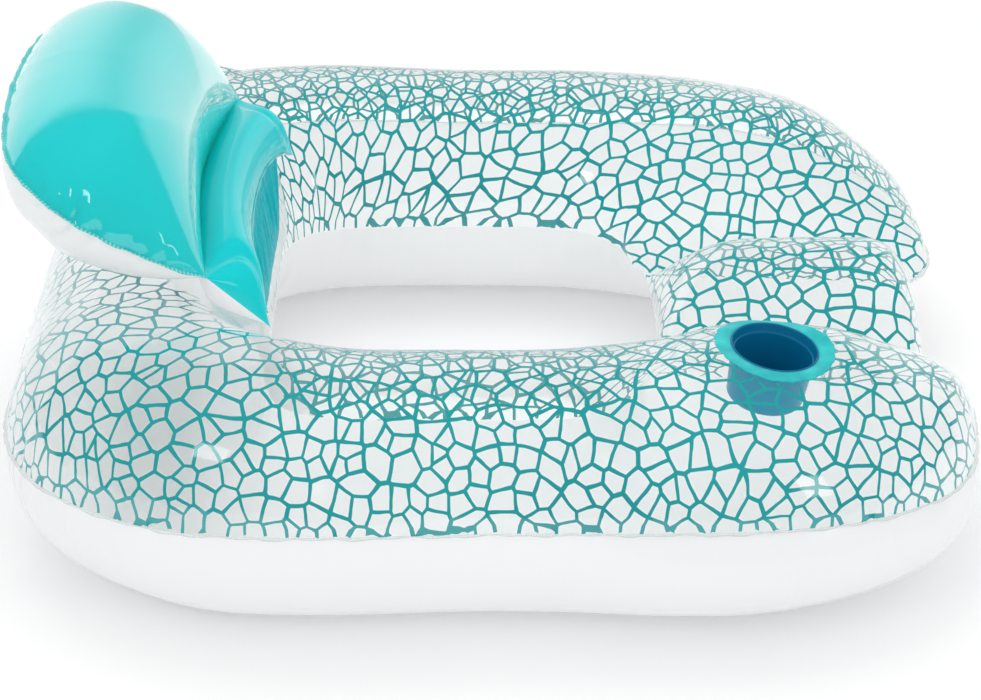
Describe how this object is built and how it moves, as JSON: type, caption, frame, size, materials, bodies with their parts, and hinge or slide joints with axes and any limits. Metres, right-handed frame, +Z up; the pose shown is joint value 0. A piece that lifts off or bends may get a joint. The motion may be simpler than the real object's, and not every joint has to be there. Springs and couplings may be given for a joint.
{
  "type": "inflatable pool lounger",
  "caption": "Inflatable pool lounger: clear printed ring with two arms and a leg rest around an open seat, a folding turquoise backrest and a cup holder in one arm.",
  "frame": {"origin": "on the floor under the middle of the lounger's overall box", "axes": "+Z up, +X from the backrest to the leg rest along the longest side, +Y to the left of someone sitting in it, so the cup holder is on the -Y side"},
  "size_m": [1.1876, 1.1726, 0.5155],
  "materials": {
    "clear_print": "clear glossy PVC film with a printed teal cell pattern",
    "white_film": "white glossy PVC film",
    "strip_film": "translucent white PVC film",
    "turquoise_film": "turquoise glossy PVC film",
    "cup_blue": "dark blue-teal PVC, satin inside",
    "cup_flange": "translucent teal PVC",
    "valve_clear": "clear soft PVC"
  },
  "bodies": {
    "ring": {"ring_top_film": "clear_print", "ring_bottom_film": "white_film", "hinge_strip": "strip_film", "cup_wall": "cup_blue", "cup_base": "cup_blue", "cup_flange": "cup_flange", "ring_valve_collar": "valve_clear"},
    "ring_stem": {"ring_valve_stem": "valve_clear"},
    "ring_cap": {"ring_valve_cap": "valve_clear"},
    "ring_flap": {"ring_valve_flap": "valve_clear"},
    "backrest": {"backrest_top_film": "turquoise_film", "backrest_bottom_film": "white_film", "backrest_valve_collar": "valve_clear"},
    "backrest_stem": {"backrest_valve_stem": "valve_clear"},
    "backrest_cap": {"backrest_valve_cap": "valve_clear"},
    "backrest_flap": {"backrest_valve_flap": "valve_clear"}
  },
  "joints": [
    {"name": "backrest_fold", "type": "hinge", "parent": "ring", "child": "backrest", "pos_m": [-0.2628, 0, 0.2604], "axis": [0, 1, 0], "range_deg": [0, 80]},
    {"name": "ring_valve_pull", "type": "slide", "parent": "ring", "child": "ring_stem", "axis": [0, 0, 1], "range_m": [0, 0.012]},
    {"name": "ring_cap_open", "type": "hinge", "parent": "ring_stem", "child": "ring_cap", "pos_m": [-0.3918, 0.4035, 0.3116], "axis": [0, 1, 0], "range_deg": [0, 120]},
    {"name": "ring_flap_open", "type": "hinge", "parent": "ring_stem", "child": "ring_flap", "pos_m": [-0.3965, 0.4035, 0.2895], "axis": [0, -1, 0], "range_deg": [0, 40], "stiffness_Nm_per_rad": 0.0002},
    {"name": "backrest_valve_pull", "type": "slide", "parent": "backrest", "child": "backrest_stem", "axis": [-0.4618, 0, -0.887], "range_m": [0, 0.012]},
    {"name": "backrest_cap_open", "type": "hinge", "parent": "backrest_stem", "child": "backrest_cap", "pos_m": [-0.50796, 0.1335, 0.32741], "axis": [0.887, 0, -0.4618], "range_deg": [0, 120]},
    {"name": "backrest_flap_open", "type": "hinge", "parent": "backrest_stem", "child": "backrest_flap", "pos_m": [-0.49776, 0.1288, 0.34701], "axis": [-0.887, 0, 0.4618], "range_deg": [0, 40], "stiffness_Nm_per_rad": 0.0002}
  ]
}
